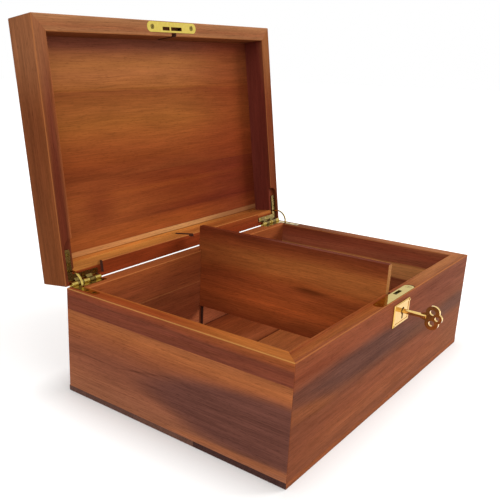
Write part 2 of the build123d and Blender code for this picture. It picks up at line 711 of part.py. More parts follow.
# Lock
face = plate_with_round_ends(FACE_LENGTH, FACE_WIDTH, FACE_MIDDLE, FACE_UNDER, BASE_HEIGHT)
face -= block(
    FACE_SLOT_LEFT, FACE_SLOT_RIGHT, slot_y - FACE_SLOT_WIDTH / 2, slot_y + FACE_SLOT_WIDTH / 2,
    FACE_UNDER - 1, BASE_HEIGHT + 1,
)
lock_screws = []
for x, y in lock_screw_places:
    top = BASE_HEIGHT - SCREW_SUNK
    face -= well(x, y, top, BASE_HEIGHT + 1)
    lock_screws.append(crossed(screw(x, y, top), x, y, top))
parts["lock_faceplate"] = face
parts["lock_screws"] = group(lock_screws)

half_case = CASE_LENGTH / 2
case = block(-half_case, half_case, CASE_FRONT, COVER_FRONT, CASE_BOTTOM, FACE_UNDER)
case -= block(
    -half_case + CASE_SHEET, half_case - CASE_SHEET, CASE_FRONT + CASE_SHEET, COVER_FRONT + 1,
    CASE_BOTTOM + CASE_SHEET, FACE_UNDER + 1,
)
parts["lock_case"] = case - keyhole(KEY_FREE, CASE_FRONT - 1, CASE_FRONT + CASE_SHEET + 0.1)
parts["lock_cover"] = block(-half_case, half_case, COVER_FRONT, CASE_BACK, CASE_BOTTOM, FACE_UNDER)
post_end = CAM_BACK - CAM_WEB + POST_FIT
posts = [depthwise(Pos(*p) * Circle(POST_RADIUS), post_end, COVER_FRONT) for p in (key_point, pivot_point)]
parts["lock_posts"] = group(posts)
parts["lock_cam"] = cam_shape()
parts["lock_hook"] = hook_shape()
parts["key"] = key_shape()

# Escutcheon
plate = depthwise(Pos(PLATE_X, PLATE_Z) * Rectangle(PLATE_LENGTH, PLATE_HEIGHT), PLATE_FRONT, FRONT)
plate = chamfer(plate.faces().sort_by(Axis.Y)[0].edges(), PLATE_BEVEL)
field = Rectangle(PLATE_LENGTH - 2 * PLATE_BORDER, PLATE_HEIGHT - 2 * PLATE_BORDER)
plate -= depthwise(Pos(PLATE_X, PLATE_Z) * field, PLATE_FRONT - 1, PLATE_FRONT + PLATE_RECESS)
plate -= keyhole(KEY_FREE, PLATE_FRONT - 1, FRONT + 1, KEYHOLE_ROUND_FREE)
pins = []
for x, z in plate_pin_places():
    plate -= plate_pin(x, z, SCREW_FIT)
    head = depthwise(Pos(x, z) * Circle(PLATE_PIN_HEAD), PLATE_FRONT - PLATE_PIN_HEIGHT, PLATE_FRONT)
    pins.append(plate_pin(x, z) + head)
parts["escutcheon"] = plate
parts["escutcheon_pins"] = group(pins)

# Divider, part raised in its grooves
divider_bottom = FLOOR_TOP + DIVIDER_LIFT
divider = block(
    DIVIDER_X - DIVIDER_THICKNESS / 2, DIVIDER_X + DIVIDER_THICKNESS / 2,
    -INNER_Y - GROOVE_DEPTH + DIVIDER_FRONT_PLAY, INNER_Y + GROOVE_DEPTH - DIVIDER_BACK_PLAY,
    divider_bottom, divider_bottom + DIVIDER_HEIGHT,
)
parts["divider"] = chamfer(divider.faces().sort_by(Axis.Z)[-1].edges().filter_by(Axis.Y), DIVIDER_EASE)

os.makedirs("parts", exist_ok=True)
for name, shape in parts.items():
    export_step(shape, "parts/" + name + ".step")
    print(name, round(shape.volume, 1))
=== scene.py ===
# %% [markdown]
# This lesson dresses a wooden lock box: a mitred base, a lid that stands open on two corner hinges with
# curved stays, a lift-out divider, and a small cam lock with its key. The shapes come from the CAD model, so
# the work here is finish: acacia boards, polished brass and lock steel, then a camera and studio light like
# the photograph's.

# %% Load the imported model
import json
from math import cos, radians, sin

import bpy
from mathutils import Matrix, Vector


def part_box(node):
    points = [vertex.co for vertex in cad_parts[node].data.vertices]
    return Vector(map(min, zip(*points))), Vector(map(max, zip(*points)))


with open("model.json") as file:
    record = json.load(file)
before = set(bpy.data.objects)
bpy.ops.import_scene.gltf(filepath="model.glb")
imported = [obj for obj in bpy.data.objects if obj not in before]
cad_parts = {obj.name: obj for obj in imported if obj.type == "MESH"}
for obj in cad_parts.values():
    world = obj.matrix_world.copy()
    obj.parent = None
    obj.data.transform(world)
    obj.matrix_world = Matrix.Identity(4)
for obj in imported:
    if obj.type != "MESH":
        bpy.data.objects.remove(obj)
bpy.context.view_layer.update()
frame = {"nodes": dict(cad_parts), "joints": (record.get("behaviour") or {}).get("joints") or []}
nodes = frame["nodes"]
bpy.ops.object.select_all(action="DESELECT")

# %% [markdown]
# The view comes first, because every finish is judged through it. A photograph fixes its camera: the corners
# of the box give the place, the direction and the focal length, and because the picture was trimmed after it
# was taken, the optical centre lies off the middle. A lens shift stands for that trim.

# %% Stand the camera where the photograph was taken
PHOTO_SIDE = 500
FOCAL_PIXELS = 677.3
OPTICAL_CENTRE = (164.2, 274.5)
SENSOR_WIDTH = 36
camera_place = Vector((-0.5041, -0.2886, 0.2703))
azimuth, elevation, roll = radians(40.37), radians(17.96), radians(-0.71)

forward = Vector((cos(azimuth) * cos(elevation), sin(azimuth) * cos(elevation), -sin(elevation)))
level_right = Vector((sin(azimuth), -cos(azimuth), 0))
level_down = forward.cross(level_right)
image_right = cos(roll) * level_right + sin(roll) * level_down
image_up = sin(roll) * level_right - cos(roll) * level_down

lens = bpy.data.cameras.new("photo_lens")
lens.sensor_width = SENSOR_WIDTH
lens.lens = FOCAL_PIXELS / PHOTO_SIDE * SENSOR_WIDTH
lens.shift_x = 0.5 - OPTICAL_CENTRE[0] / PHOTO_SIDE
lens.shift_y = OPTICAL_CENTRE[1] / PHOTO_SIDE - 0.5
camera = bpy.data.objects.new("photo_camera", lens)
turn = Matrix((image_right, image_up, -forward)).transposed()
camera.matrix_world = Matrix.Translation(camera_place) @ turn.to_4x4()
bpy.context.scene.collection.objects.link(camera)
bpy.context.scene.camera = camera
print("camera: lens", round(lens.lens, 1), "mm, shift", round(lens.shift_x, 3), round(lens.shift_y, 3))

# %% [markdown]
# Colours are written as the hex values one reads off a colour card, and Blender's shaders want linear light,
# so one function turns the first into the second. A second function adds a node with its settings and links,
# and every material below is built with it.

# %% Helpers for colours, nodes and materials
MM = 0.001


def linear(code):
    """An sRGB hex colour as linear red, green, blue and full alpha."""
    channels = [int(code[i:i + 2], 16) / 255 for i in (1, 3, 5)]
    return [c / 12.92 if c <= 0.04045 else ((c + 0.055) / 1.055) ** 2.4 for c in channels] + [1]


def add_node(tree, kind, links=None, **settings):
    """Adds one node: settings are its properties, links are sockets to join or plain values to put in."""
    made = tree.nodes.new(kind)
    for key, value in settings.items():
        setattr(made, key, value)
    for socket, value in (links or {}).items():
        if isinstance(value, bpy.types.NodeSocket):
            tree.links.new(value, made.inputs[socket])
        else:
            made.inputs[socket].default_value = value
    return made


def new_material(name):
    """An empty node material, its node tree and its shader."""
    material = bpy.data.materials.new(name)
    material.use_nodes = True
    return material, material.node_tree, material.node_tree.nodes["Principled BSDF"]


def dress(name, material):
    """Gives a piece one material in place of those it came with."""
    nodes[name].data.materials.clear()
    nodes[name].data.materials.append(material)


print("helpers ready; mid grey 808080 is", round(linear("#808080")[0], 3), "in linear light")

# %% [markdown]
# Acacia is a hard, red-brown timber with strong figure: tan sapwood, orange heartwood and purple-brown
# streaks can share one board. A sawn board shows its growth rings as long bands, so its finish is drawn in
# the board's own directions: along the grain, across it, and into the board. A lid board is measured as it
# lies when the lid is shut, so its points are first turned about the hinge line through the joint's whole
# range. Slow noise, stretched along the grain, then lets the rings wander. Because the rings run at a slant
# through the thickness, the same bands carry on over a rim and down the other side.

# %% A board's own directions
lid_hinge = next(joint for joint in frame["joints"] if joint["name"] == "lid_hinge")
HINGE_LINE = Vector(lid_hinge["pos_m"]) / MM
OPEN_ANGLE = lid_hinge["range_deg"][1]
WANDER_LENGTH, WANDER_WIDTH = 90, 30
WANDER_NOISE = (0.25, 0.75)
WANDER_SPREAD = Vector((1, 1.7, 0.6))


def board_point(tree, along, across, offset, swing, wander, seed):
    """A point of the board in mm (along, across, into the board), and its place across the rings."""
    place = add_node(tree, "ShaderNodeTexCoord").outputs["Object"]
    closed = add_node(tree, "ShaderNodeMapping", {
        "Vector": place, "Location": HINGE_LINE - swing @ HINGE_LINE, "Rotation": swing.to_euler(),
        "Scale": (1 / MM,) * 3}).outputs[0]
    run, rise, deep = (
        add_node(tree, "ShaderNodeVectorMath", {0: closed, 1: way}, operation="DOT_PRODUCT").outputs["Value"]
        for way in (along, across, along.cross(across)))
    level = add_node(tree, "ShaderNodeMath", {0: rise, 1: offset}, operation="ADD").outputs[0]
    straight = add_node(tree, "ShaderNodeCombineXYZ", {0: run, 1: level, 2: deep}).outputs[0]
    slow = add_node(tree, "ShaderNodeMapping", {
        "Vector": straight, "Location": seed * WANDER_SPREAD,
        "Scale": (1 / WANDER_LENGTH, 1 / WANDER_WIDTH, 1 / WANDER_WIDTH)}).outputs[0]
    bend = add_node(tree, "ShaderNodeTexNoise", {"Vector": slow, "Scale": 1, "Detail": 2}).outputs["Fac"]
    shift = add_node(tree, "ShaderNodeMapRange", {
        "Value": bend, "From Min": WANDER_NOISE[0], "From Max": WANDER_NOISE[1],
        "To Min": -wander, "To Max": wander}).outputs[0]
    ring = add_node(tree, "ShaderNodeMath", {0: level, 1: shift}, operation="ADD").outputs[0]
    return add_node(tree, "ShaderNodeCombineXYZ", {0: run, 1: ring, 2: deep}).outputs[0], ring


print("hinge line at", [round(c, 1) for c in HINGE_LINE], "mm, lid open by", OPEN_ANGLE, "degrees")

# %% [markdown]
# The colours of a board come in two layers. Bands across the grain are the growth rings, drawn with a colour
# ramp. Streaks, knots and patches that belong to one board alone are ovals, long along the grain, that fade
# at their rims, so each can be placed and tilted by hand.

# %% Bands and stains
ANY_DEPTH = 1e6


def banded_colour(tree, ring, bands):
    """The colour of the rings: a ramp through pairs of (place across the grain, colour)."""
    low, high = bands[0][0], bands[-1][0]
    share = add_node(tree, "ShaderNodeMapRange", {
        "Value": ring, "From Min": low, "From Max": high}).outputs[0]
    ramp = add_node(tree, "ShaderNodeValToRGB", {"Fac": share})
    for index, (band, code) in enumerate(bands):
        spot = (band - low) / (high - low)
        stops = ramp.color_ramp.elements
        stop = stops[index] if index < 2 else stops.new(spot)
        stop.position = spot
        stop.color = linear(code)
    return ramp.outputs["Color"]


def stained_colour(tree, point, colour, stain):
    """A colour with one stain over it. A stain is (colour, strength, place along, place across, half length,
    half width, tilt in degrees, softness)."""
    code, strength, middle, height, half_length, half_width, tilt, soft = stain
    oval = add_node(tree, "ShaderNodeMapping", {
        "Vector": point, "Location": (middle, height, 0), "Rotation": (0, 0, radians(tilt)),
        "Scale": (half_length, half_width, ANY_DEPTH)}, vector_type="TEXTURE").outputs[0]
    reach = add_node(tree, "ShaderNodeVectorMath", {0: oval}, operation="LENGTH").outputs["Value"]
    cover = add_node(tree, "ShaderNodeMapRange", {
        "Value": reach, "From Min": 1 + soft, "From Max": 1 - soft, "To Max": strength},
        interpolation_type="SMOOTHSTEP").outputs[0]
    return add_node(tree, "ShaderNodeMix", {0: cover, 6: colour, 7: linear(code)},
                    data_type="RGBA").outputs[2]


print("ready: a ramp for a board's bands, and an oval right through the board for each stain")

# %% [markdown]
# Over the bands lie three finer patterns: broad figure, growth lines about a millimetre wide, and the open
# pores that show as short dark dashes. Real pores are finer than a pixel here, so they are drawn wider than
# they are. All three are noise, stretched along the grain, and together they make one number that darkens or
# lightens the colour.

# %% Figure, growth lines and pores
FIGURE = dict(length=60, width=8, detail=4, darkest=0.86, lightest=1.12)
GROWTH_LINES = dict(length=34, width=1.1, detail=3, darkest=0.80, lightest=1.18)
GRAIN_NOISE = (0.3, 0.7)
GRAIN_SPREAD = Vector((2.3, 1, 0))
PORE_LENGTH, PORE_WIDTH = 5, 0.6
PORE_NOISE = (0.56, 0.7)
PORE_DARKENING = 0.26


def grain_shade(tree, point, seed, contrast):
    """How much darker or lighter than its band the wood is; contrast is how strongly the grain shows."""
    shade = None
    for grain in (FIGURE, GROWTH_LINES):
        fibre = add_node(tree, "ShaderNodeMapping", {
            "Vector": point, "Location": seed * GRAIN_SPREAD,
            "Scale": (1 / grain["length"], 1 / grain["width"], 1 / grain["width"])}).outputs[0]
        drawn = add_node(tree, "ShaderNodeTexNoise", {
            "Vector": fibre, "Scale": 1, "Detail": grain["detail"]}).outputs["Fac"]
        tone = add_node(tree, "ShaderNodeMapRange", {
            "Value": drawn, "From Min": GRAIN_NOISE[0], "From Max": GRAIN_NOISE[1],
            "To Min": 1 + contrast * (grain["darkest"] - 1),
            "To Max": 1 + contrast * (grain["lightest"] - 1)}).outputs[0]
        shade = tone if shade is None else add_node(
            tree, "ShaderNodeMath", {0: shade, 1: tone}, operation="MULTIPLY").outputs[0]
    dash = add_node(tree, "ShaderNodeMapping", {
        "Vector": point, "Scale": (1 / PORE_LENGTH, 1 / PORE_WIDTH, 1 / PORE_WIDTH)}).outputs[0]
    speck = add_node(tree, "ShaderNodeTexNoise", {"Vector": dash, "Scale": 1, "Detail": 1}).outputs["Fac"]
    pore = add_node(tree, "ShaderNodeMapRange", {
        "Value": speck, "From Min": PORE_NOISE[0], "From Max": PORE_NOISE[1]}).outputs[0]
    fade = add_node(tree, "ShaderNodeMath", {0: pore, 1: -PORE_DARKENING * contrast, 2: 1},
                    operation="MULTIPLY_ADD").outputs[0]
    return add_node(tree, "ShaderNodeMath", {0: shade, 1: fade}, operation="MULTIPLY").outputs[0]


print("growth lines", GROWTH_LINES["width"], "mm wide, pores", PORE_LENGTH, "mm long")

# %% [markdown]
# A workshop leaves its marks too. Sawn ends drink more lacquer than the faces and go dark. Along the eased
# edges the colour runs towards a paler tone on most boards: partly lacquer that sandpaper wore thin, partly
# a painted highlight where the rounded edge catches the light. Both are found from the way a face looks: an
# end faces along the grain, and an eased edge leans halfway between a face and a rim.

# %% Sawn ends and eased edges
SAWN_FACING = (0.8, 0.95)
EDGE_LEAN, EDGE_SPREAD = 0.707, 0.2
EDGE_WEAR_AND_HIGHLIGHT = 0.5


def worked_colour(tree, colour, shade, along, swing, end_grain, eased):
    """Sawn ends in end_grain; eased edges drawn towards eased, partly wear, partly painted highlight."""
    normal = add_node(tree, "ShaderNodeTexCoord").outputs["Normal"]
    leaning = add_node(tree, "ShaderNodeMapping", {
        "Vector": normal, "Rotation": swing.to_euler()}).outputs[0]
    facing = add_node(tree, "ShaderNodeVectorMath", {0: leaning}, operation="ABSOLUTE").outputs[0]
    square, upward = (
        add_node(tree, "ShaderNodeVectorMath", {0: facing, 1: way}, operation="DOT_PRODUCT").outputs["Value"]
        for way in (along, (0, 0, 1)))
    sawn = add_node(tree, "ShaderNodeMapRange", {
        "Value": square, "From Min": SAWN_FACING[0], "From Max": SAWN_FACING[1]}).outputs[0]
    tint = add_node(tree, "ShaderNodeMix", {0: 1, 6: linear(end_grain), 7: shade}, data_type="RGBA",
                    blend_type="MULTIPLY").outputs[2]
    colour = add_node(tree, "ShaderNodeMix", {0: sawn, 6: colour, 7: tint}, data_type="RGBA").outputs[2]
    # The eased-edge mask: partly worn lacquer, partly a painted highlight on the rounded edges.
    slant = add_node(tree, "ShaderNodeMath", {0: upward, 1: EDGE_LEAN, 2: EDGE_SPREAD},
                     operation="COMPARE").outputs[0]
    worn = add_node(tree, "ShaderNodeMath", {0: slant, 1: EDGE_WEAR_AND_HIGHLIGHT}, operation="MULTIPLY").outputs[0]
    return add_node(tree, "ShaderNodeMix", {0: worn, 6: colour, 7: linear(eased)},
                    data_type="RGBA").outputs[2]


# The share given to the eased edges is partly wear and partly painted highlight.
print("eased edges are worn by", EDGE_WEAR_AND_HIGHLIGHT)

# %% [markdown]
# One function puts a board's finish together. The lacquer is satin: duller over the pores, which stay a
# little open, and with hardly any shine of its own, so that the white room does not wash out the colours.

# %% Acacia, planed, sanded and wiped with satin lacquer
LACQUER_IOR = 1.5
LACQUER_SHINE = 0.008
SHADE_RANGE = (0.7, 1.2)
LACQUER_ROUGHNESS = (0.48, 0.36)
PORE_RELIEF, PORE_DEPTH = 0.12, 0.25 * MM


def acacia(name, along, across, bands, offset=0, stains=(), wander=2.0, seed=0, contrast=1.0,
           end_grain="#5a3a30", eased="#b87340", in_lid=False):
    """One board's finish. along and across are directions of the closed box, in which bands and stains are
    placed in millimetres, and offset is added to the place across the grain."""
    material, tree, shader = new_material("acacia_" + name)
    along, across = Vector(along), Vector(across)
    swing = Matrix.Rotation(radians(OPEN_ANGLE if in_lid else 0), 3, "X")
    point, ring = board_point(tree, along, across, offset, swing, wander, seed)
    colour = banded_colour(tree, ring, bands)
    for stain in stains:
        colour = stained_colour(tree, point, colour, stain)
    shade = grain_shade(tree, point, seed, contrast)
    colour = add_node(tree, "ShaderNodeMix", {0: 1, 6: colour, 7: shade}, data_type="RGBA",
                      blend_type="MULTIPLY").outputs[2]
    colour = worked_colour(tree, colour, shade, along, swing, end_grain, eased)
    gloss = add_node(tree, "ShaderNodeMapRange", {
        "Value": shade, "From Min": SHADE_RANGE[0], "From Max": SHADE_RANGE[1],
        "To Min": LACQUER_ROUGHNESS[0], "To Max": LACQUER_ROUGHNESS[1]}).outputs[0]
    relief = add_node(tree, "ShaderNodeBump", {
        "Height": shade, "Strength": PORE_RELIEF, "Distance": PORE_DEPTH}).outputs[0]
    for socket, value in {"Base Color": colour, "Roughness": gloss, "Normal": relief}.items():
        tree.links.new(value, shader.inputs[socket])
    shader.inputs["IOR"].default_value = LACQUER_IOR
    shader.inputs["Specular IOR Level"].default_value = LACQUER_SHINE
    return material


print("satin lacquer: roughness", LACQUER_ROUGHNESS)

# %% [markdown]
# The base walls are the boards one sees first. The front wall is one board with a purple-brown streak that
# sinks from left to right. The left and back walls are each glued up from two boards, so a straight line
# parts them. On the left wall the lower board shows a dark tongue of heartwood that reaches back from the
# front corner, and inside the right wall a tan band of sapwood runs below the rim, painted brighter than the
# wood to stand in for light that falls on it there. Each wall's offset makes the place across the grain read
# as the height on its outer face.

# %% The base walls
LENGTHWISE, FRONT_TO_BACK = (1, 0, 0), (0, 1, 0)
HALF_LENGTH = round(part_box("right_wall")[1].x / MM, 2)
HALF_DEPTH = round(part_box("back_wall")[1].y / MM, 2)
BOARDS = {
    "front_wall": dict(
        along=LENGTHWISE, across=(0, 1, 1), offset=HALF_DEPTH, seed=3.1, wander=1.6,
        bands=[(4, "#864d33"), (12, "#8e5133"), (20, "#945333"), (30, "#8b4c30"), (40, "#884c31"),
               (44, "#77422c"), (47, "#844c30"), (60, "#864a30"), (80, "#8d4a2e"), (91, "#8b492c"),
               (94, "#99552a"), (99, "#964f25"), (102, "#8d4421"), (104, "#a45d2e")],
        stains=[("#643e32", 0.95, -55, 59, 118, 12, -2, 0.5), ("#6b432f", 0.75, 120, 50, 90, 8, -1, 0.6),
                ("#6a3e2f", 0.75, -152, 67, 45, 3.5, -3, 0.6), ("#9a582f", 0.6, -152, 50, 45, 5, -6, 0.5),
                ("#7e452d", 0.8, -165, 30, 42, 24, 0, 0.8), ("#7a3b23", 0.6, -140, 78, 45, 3, -2, 0.6),
                ("#b06f3e", 0.85, 115, 97, 75, 9, 0, 0.5), ("#79432f", 0.6, 130, 82, 90, 9, 0, 0.6),
                ("#783d25", 0.75, 112, 76, 75, 17, 0, 0.7), ("#844e30", 0.5, 155, 30, 45, 38, 0, 0.7),
                ("#653f33", 0.7, 142, 49, 45, 7, 0, 0.6)]),
    "left_wall": dict(
        along=FRONT_TO_BACK, across=(1, 0, 1), offset=HALF_LENGTH, seed=7.4, wander=1.0,
        bands=[(4, "#ab6c4c"), (12, "#a8694a"), (20, "#aa6848"), (30, "#9e5e42"), (42, "#94563d"),
               (50, "#99583b"), (58, "#a15c39"), (66, "#b0673c"), (72, "#a8633c"), (74, "#a25e3b")],
        stains=[("#6e443a", 0.3, 25, 27, 62, 20, 0, 0.8), ("#6e443a", 0.95, -112, 35, 132, 24.5, 0, 0.2),
                ("#6e443a", 0.6, -52, 17, 34, 6, -3, 0.5), ("#b06a44", 0.6, -68, 9, 62, 2, -2, 0.5),
                ("#6a3c2c", 0.5, 70, 38.3, 28, 0.7, 1, 0.6), ("#6a3c2c", 0.6, 22, 43.5, 26, 0.8, -11, 0.6)]),
    "left_wall_strip": dict(
        # Its very pale eased edge along the rim is partly wear, partly a painted highlight.
        along=FRONT_TO_BACK, across=(1, 0, 1), offset=HALF_LENGTH, seed=9.9, wander=0.8, eased="#dfa45a",
        bands=[(73, "#7c4130"), (78, "#80432f"), (82, "#7f4230"), (84, "#78402d"), (86, "#8a4630"),
               (91, "#964c2d"), (94, "#964822"), (99, "#934320"), (102, "#9f5125"), (104, "#b1662e")],
        stains=[("#b46a30", 0.85, -110, 97, 85, 9, 0, 0.5), ("#9c522e", 0.6, -70, 88.5, 75, 3, 0, 0.6)]),
    "back_wall": dict(
        along=LENGTHWISE, across=(0, 1, 1), offset=-HALF_DEPTH, seed=11.9,
        # The lightest bands, low on the wall, are painted light: paler than the board to stand in for light
        # falling there.
        bands=[(-9, "#ba6c48"), (8, "#b86a45"), (18, "#a45b3a"), (30, "#9f5736"), (47, "#9c5533")]),
    "back_wall_strip": dict(
        along=LENGTHWISE, across=(0, 1, 1), offset=-HALF_DEPTH, seed=17.2, wander=0.3,
        bands=[(47, "#c17d4a"), (48, "#9f5733"), (60, "#974f2e"), (78, "#a2562c"), (91, "#9b572f")]),
    "right_wall": dict(
        along=FRONT_TO_BACK, across=(1, 0, 1), offset=-HALF_LENGTH, seed=5.7, wander=0.8,
        # The pale bands from 45 to 59 are the sapwood band: a lighter board, painted brighter still as
        # painted light.
        bands=[(-9, "#9a5036"), (40, "#9c5a3a"), (43, "#8a4a30"), (45, "#cc8e56"), (57, "#d29458"),
               (59, "#b87a48"), (60, "#9c573b"), (64, "#a05a3e"), (69, "#964e35"), (77, "#8f4930"),
               (79, "#864926"), (84, "#a6633a"), (91, "#9c5e39")],
        stains=[("#632e14", 0.75, 95, 84, 75, 10, 0, 0.8), ("#b4744a", 0.6, -92, 86, 58, 10, 0, 0.7)]),
}
print("base walls:", len(BOARDS), "boards, half length", HALF_LENGTH, "mm, half depth", HALF_DEPTH, "mm")

# %% [markdown]
# The floor is three boards glued edge to edge under the walls; their sawn ends make the thin strip at the
# foot of the left wall. The back board is dark along its front edge and darkest along its back edge, which
# is painted shade at the foot of the back wall. The divider is one thin board with a golden band and a small
# dark knot; the broad dark patch at its back end is painted shade near the back wall.

# %% The floor boards and the divider
RING_SLANT = 0.4
FLAT_BOARD = (0, 1, RING_SLANT)
BOARDS.update({
    "floor_board_front": dict(
        along=LENGTHWISE, across=FLAT_BOARD, seed=2.2, end_grain="#4d3430",
        bands=[(-105, "#8e4f2e"), (-85, "#a85e30"), (-60, "#a3582d"), (-27, "#9b532b")]),
    "floor_board_middle": dict(
        along=LENGTHWISE, across=FLAT_BOARD, seed=9.3, end_grain="#704f43", wander=0.4,
        bands=[(-28, "#aa6236"), (0, "#b2673a"), (33, "#b86b3a")]),
    "floor_board_back": dict(
        along=LENGTHWISE, across=FLAT_BOARD, seed=14.8, end_grain="#684a41", wander=0.4,
        bands=[(27, "#6b3219"), (33.6, "#6b3219"), (35, "#9c542f"), (42, "#b2623a"), (56, "#9b502b"),
               # The darkest bands, at the back edge, are painted shade where the floor meets the back wall.
               (82, "#934a27"), (94, "#8c4526"), (96, "#5a2a18"), (105, "#5a2a18")]),
    "divider": dict(
        along=FRONT_TO_BACK, across=(0.6, 0, 1), seed=6.6, end_grain="#a8703f", wander=2.5, eased="#5a2412",
        bands=[(34, "#904625"), (44, "#a7562c"), (55, "#c36330"), (65, "#b25a2d"), (73, "#a6532a"),
               (80, "#b35f2e"), (86, "#bb6c36"), (93, "#ba6d37"), (98, "#b76b36"), (103, "#a5582e"),
               (108, "#8f4625"), (113, "#7c3a21"), (118, "#682a17")],
        # The second stain, a broad dark patch at the back end, is painted shade near the back wall.
        stains=[("#55260f", 0.6, -27, 75.5, 14, 2.2, -2, 0.7), ("#6e2e18", 0.55, 92, 78, 48, 42, 0, 0.8)]),
})
print("with floor and divider:", len(BOARDS), "boards")

# %% [markdown]
# The lid is a mitred frame of four rails, measured as they lie when the lid is shut. The left rail is read
# as the walls are, by the height on its outer face. On the other three the bands start inside and cross the
# rim, and their offset makes the outer edge of the rim read as the rim's own height. The hinge line runs
# midway between the two rims, which gives that height.

# %% The lid's rails
BASE_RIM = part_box("right_wall")[1].z / MM
LID_RIM = round(2 * HINGE_LINE.z - BASE_RIM, 2)
BOARDS.update({
    "lid_front_rail": dict(
        along=LENGTHWISE, across=(0, -1, -1), offset=2 * LID_RIM - HALF_DEPTH, seed=4.4, in_lid=True,
        bands=[(57, "#784325"), (79, "#87502d"), (80, "#a06a44"), (83, "#935f3e"), (85, "#915939"),
               (89, "#9f6944"), (93, "#a1704c")]),
    "lid_back_rail": dict(
        along=LENGTHWISE, across=(0, 1, -1), offset=2 * LID_RIM - HALF_DEPTH, seed=8.1, wander=0.5,
        in_lid=True,
        # The bands from 57 to 80 are the inner face: a tan board, painted lighter to stand in for light
        # falling on it.
        bands=[(57, "#d79348"), (66, "#ca853f"), (75, "#bd793a"), (79.6, "#b97438"), (80.4, "#843719"),
               (93, "#823619")],
        # This stain darkens the inner face's right end: painted shade from the right rail.
        stains=[("#a05225", 0.85, 95, 68, 95, 14, 0, 0.6)]),
    "lid_left_rail": dict(
        along=FRONT_TO_BACK, across=(-1, 0, 1), offset=-HALF_LENGTH, seed=12.5, wander=1.2, in_lid=True,
        bands=[(80, "#8e4e29"), (83, "#773e25"), (86, "#6f3826"), (91, "#713c24"), (94, "#864a28"),
               (107, "#7e4627"), (121, "#824a2b")],
        stains=[("#622a1a", 0.8, 60, 88, 75, 4.5, 0, 0.5), ("#9a6240", 0.85, -98, 104, 46, 26, 0, 0.6),
                ("#70391f", 0.45, 0, 108, 45, 12, 0, 0.8)]),
    "lid_right_rail": dict(
        along=FRONT_TO_BACK, across=(1, 0, -1), offset=2 * LID_RIM - HALF_LENGTH, seed=1.3, wander=0.8,
        in_lid=True,
        bands=[(57, "#713328"), (79.4, "#6e3025"), (80.4, "#763820"), (86, "#7c3d20"), (93, "#6c341b")],
        stains=[("#8f5a34", 0.8, -98, 86, 55, 9, 0, 0.6), ("#6b331c", 0.55, 75, 86, 85, 9, 0, 0.8)]),
})
print("with the lid's rails:", len(BOARDS), "boards; the shut lid's rim lies", LID_RIM, "mm high")

# %% [markdown]
# Three boards are let into the lid's top. Their grain shows less than that of the walls, and each board
# darkens towards the right: partly deeper heartwood, partly painted shade cast by the lid's right rail. The
# front board is also darker along its front edge, which is painted shade under the front rail. The back
# board ends in a narrow strip of pale sapwood between two thin dark lines. The offset takes away about the
# height of the boards' undersides, so that bands are read from front to back.

# %% The lid's boards
LID_BOARD_UNDERSIDE = 115
LID_BOARD = dict(along=LENGTHWISE, across=FLAT_BOARD, offset=-RING_SLANT * LID_BOARD_UNDERSIDE,
                 contrast=0.78, in_lid=True)
BOARDS.update({
    "lid_board_front": dict(
        LID_BOARD, seed=15.7,
        # The first two bands, darker at the front edge, are painted shade under the front rail.
        bands=[(-98, "#844936"), (-86, "#864b36"), (-78, "#a2623a"), (-71, "#a9693a"), (-62, "#a46439"),
               (-50, "#9b5c2f")],
        # This stain darkens the board towards the right: partly heartwood, partly painted shade from the
        # right rail.
        stains=[("#7a3219", 0.68, 165, -72, 100, 200, 0, 0.55)]),
    "lid_board_middle": dict(
        LID_BOARD, seed=10.2,
        bands=[(-50, "#95582a"), (-47, "#874a26"), (-40, "#8e5027"), (-30, "#945529"), (-20, "#985828"),
               (-8, "#975226"), (3, "#914a23"), (12, "#8b441f"), (18, "#843f1e"), (27, "#803e1e")],
        # This stain darkens the board towards the right: partly heartwood, partly painted shade from the
        # right rail.
        stains=[("#7a3219", 0.68, 165, -10, 100, 200, 0, 0.55)]),
    "lid_board_back": dict(
        LID_BOARD, seed=13.6, wander=0.3,
        bands=[(27, "#78361a"), (38, "#7b3519"), (42, "#89401b"), (46, "#7e3719"), (58, "#833c1b"),
               (64, "#7b3419"), (68, "#6f2e17"), (71, "#8c411d"), (78, "#9c4e22"), (84, "#9a4d24"),
               (84.6, "#7c3d1e"), (85, "#cf955c"), (89.1, "#c9915a"), (89.3, "#84501f"), (89.8, "#84501f"),
               (90.1, "#c8803c"), (92.2, "#c07a38")],
        stains=[("#ad6030", 0.5, -140, 62, 110, 34, 0, 0.7), ("#6f2c1a", 0.5, -95, 52, 16, 14, 0, 0.9),
                # This stain darkens the board towards the right: partly heartwood, partly painted shade from
                # the right rail.
                ("#642518", 0.62, 165, 60, 100, 200, 0, 0.55)]),
})
for name, finish in BOARDS.items():
    dress(name, acacia(name, **finish))
print("acacia boards dressed:", len(BOARDS))

# %% [markdown]
# The strike, the lock's face and the hinges are stamped brass, and the key and the escutcheon are cast zinc
# with a thin coat of gilt. The leaves in the lid's pockets are that brass painted dark and dull, as painted
# shade and painted reflection of the dark wood around them, and most screws are a darker, duller brass.
# Polished metal takes its look from what it mirrors, so its own colour is even, and fine scuffs that vary
# the roughness keep it from looking like a mirror.

# %% Scuffed metal
SCUFF_NOISE = (0.35, 0.7)
SCUFF_RELIEF, SCUFF_DEPTH = 0.05, 0.05 * MM


